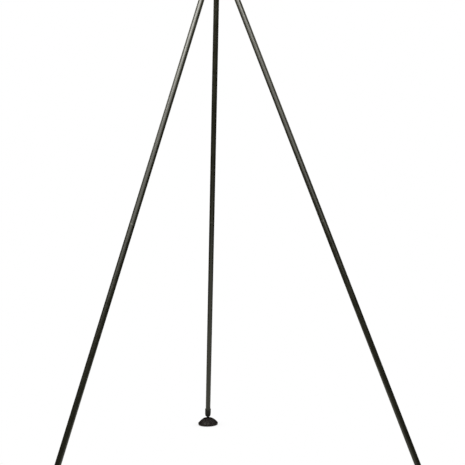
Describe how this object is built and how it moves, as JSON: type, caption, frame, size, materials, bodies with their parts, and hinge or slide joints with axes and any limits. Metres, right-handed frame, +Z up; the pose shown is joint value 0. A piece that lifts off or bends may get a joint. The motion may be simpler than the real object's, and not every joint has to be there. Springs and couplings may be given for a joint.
{
  "type": "tripod hunting stand",
  "caption": "Free-standing field rest: slender hinged tube legs that pull apart halfway down, swivelling ribbed foot pads and a padded fork that turns on the hub.",
  "frame": {"origin": "on the floor, in the middle of the rectangle that the three feet cover, with the stand open as it stands in use; the hub's vertical axis stands a quarter of the foot circle's radius in front of it", "axes": "+Z up along the hub's axis; +Y towards the back leg; +X towards the right-hand front leg's side"},
  "size_m": [1.019, 0.8916, 1.5283],
  "materials": {
    "leg_coating": "satin olive-black baked coating on aluminium tube",
    "hub_coating": "fine-textured black powder coat on aluminium castings",
    "arm_coating": "satin black paint on steel rod",
    "black_nylon": "moulded, faint grain",
    "natural_nylon": "smooth, slightly waxy",
    "bare_aluminium": "turned, satin",
    "grey_aluminium": "turned, grey hard-anodised",
    "black_steel": "black oxide",
    "zinc_steel": "zinc plated",
    "pad_rubber": "moulded, satin, slightly brown black",
    "grip_rubber": "moulded, matt",
    "elastic_cord": "braided sheath"
  },
  "bodies": {
    "hub": {"hub_body": "hub_coating", "hinge_bolts": "zinc_steel", "hinge_nuts": "zinc_steel", "hinge_washers": "zinc_steel", "swivel_bolt": "zinc_steel", "swivel_washer": "zinc_steel", "swivel_nut": "zinc_steel", "thrust_washer": "natural_nylon"},
    "right_upper_leg": {"right_knuckle": "black_nylon", "right_hinge_bushes": "natural_nylon", "right_knuckle_pin": "zinc_steel", "right_upper_tube": "leg_coating", "right_spigot": "bare_aluminium", "right_joint_ring": "grey_aluminium", "right_shock_cord": "elastic_cord"},
    "right_lower_leg": {"right_lower_tube": "leg_coating", "right_cord_anchor": "black_nylon", "right_foot_ferrule": "black_nylon"},
    "right_foot_cup": {"right_foot_bearing": "natural_nylon"},
    "right_foot": {"right_foot_stud": "black_steel", "right_foot_pad": "pad_rubber"},
    "left_upper_leg": {"left_knuckle": "black_nylon", "left_hinge_bushes": "natural_nylon", "left_knuckle_pin": "zinc_steel", "left_upper_tube": "leg_coating", "left_spigot": "bare_aluminium", "left_joint_ring": "grey_aluminium", "left_shock_cord": "elastic_cord"},
    "left_lower_leg": {"left_lower_tube": "leg_coating", "left_cord_anchor": "black_nylon", "left_foot_ferrule": "black_nylon"},
    "left_foot_cup": {"left_foot_bearing": "natural_nylon"},
    "left_foot": {"left_foot_stud": "black_steel", "left_foot_pad": "pad_rubber"},
    "back_upper_leg": {"back_knuckle": "black_nylon", "back_hinge_bushes": "natural_nylon", "back_knuckle_pin": "zinc_steel", "back_upper_tube": "leg_coating", "back_spigot": "bare_aluminium", "back_joint_ring": "grey_aluminium", "back_shock_cord": "elastic_cord"},
    "back_lower_leg": {"back_lower_tube": "leg_coating", "back_cord_anchor": "black_nylon", "back_foot_ferrule": "black_nylon"},
    "back_foot_cup": {"back_foot_bearing": "natural_nylon"},
    "back_foot": {"back_foot_stud": "black_steel", "back_foot_pad": "pad_rubber"},
    "fork": {"fork_base": "hub_coating", "right_fork_arm": "arm_coating", "left_fork_arm": "arm_coating", "right_arm_sleeve": "grip_rubber", "left_arm_sleeve": "grip_rubber", "arm_tips": "grip_rubber", "arm_pins": "zinc_steel", "saddle_pad": "grip_rubber", "brake_shoe": "natural_nylon"},
    "lock": {"lock_screw": "zinc_steel", "lock_knob": "black_nylon"}
  },
  "joints": [
    {"name": "right_leg_spread", "type": "hinge", "parent": "hub", "child": "right_upper_leg", "pos_m": [0.02078, -0.14925, 1.4012], "axis": [-0.5, -0.866, 0], "range_deg": [-20.2, 9]},
    {"name": "right_leg_section_pull", "type": "slide", "parent": "right_upper_leg", "child": "right_lower_leg", "axis": [0.3104, -0.1792, -0.9336], "range_m": [0, 0.058], "stiffness_N_per_m": 60, "springref_m": -0.12, "deforming": ["right_shock_cord"]},
    {"name": "right_foot_pitch", "type": "hinge", "parent": "right_lower_leg", "child": "right_foot_cup", "pos_m": [0.47546, -0.41176, 0.0335], "axis": [0.5, 0.866, 0], "range_deg": [-51, 9]},
    {"name": "right_foot_roll", "type": "hinge", "parent": "right_foot_cup", "child": "right_foot", "pos_m": [0.47546, -0.41176, 0.0335], "axis": [0.866, -0.5, 0], "range_deg": [-20, 20]},
    {"name": "left_leg_spread", "type": "hinge", "parent": "hub", "child": "left_upper_leg", "pos_m": [-0.02078, -0.14925, 1.4012], "axis": [-0.5, 0.866, 0], "range_deg": [-20.2, 9]},
    {"name": "left_leg_section_pull", "type": "slide", "parent": "left_upper_leg", "child": "left_lower_leg", "axis": [-0.3104, -0.1792, -0.9336], "range_m": [0, 0.058], "stiffness_N_per_m": 60, "springref_m": -0.12, "deforming": ["left_shock_cord"]},
    {"name": "left_foot_pitch", "type": "hinge", "parent": "left_lower_leg", "child": "left_foot_cup", "pos_m": [-0.47546, -0.41176, 0.0335], "axis": [0.5, -0.866, 0], "range_deg": [-51, 9]},
    {"name": "left_foot_roll", "type": "hinge", "parent": "left_foot_cup", "child": "left_foot", "pos_m": [-0.47546, -0.41176, 0.0335], "axis": [-0.866, -0.5, 0], "range_deg": [-20, 20]},
    {"name": "back_leg_spread", "type": "hinge", "parent": "hub", "child": "back_upper_leg", "pos_m": [0, -0.11325, 1.4012], "axis": [1, 0, 0], "range_deg": [-20.2, 9]},
    {"name": "back_leg_section_pull", "type": "slide", "parent": "back_upper_leg", "child": "back_lower_leg", "axis": [0, 0.3584, -0.9336], "range_m": [0, 0.058], "stiffness_N_per_m": 60, "springref_m": -0.12, "deforming": ["back_shock_cord"]},
    {"name": "back_foot_pitch", "type": "hinge", "parent": "back_lower_leg", "child": "back_foot_cup", "pos_m": [0, 0.41176, 0.0335], "axis": [-1, 0, 0], "range_deg": [-51, 9]},
    {"name": "back_foot_roll", "type": "hinge", "parent": "back_foot_cup", "child": "back_foot", "pos_m": [0, 0.41176, 0.0335], "axis": [0, 1, 0], "range_deg": [-20, 20]},
    {"name": "fork_swivel", "type": "hinge", "parent": "hub", "child": "fork", "pos_m": [0, -0.13725, 1.4188], "axis": [0, 0, 1], "continuous": true},
    {"name": "lock_knob_turn", "type": "hinge", "parent": "fork", "child": "lock", "pos_m": [0, -0.15225, 1.4252], "axis": [0, -1, 0], "range_deg": [0, 360]}
  ]
}
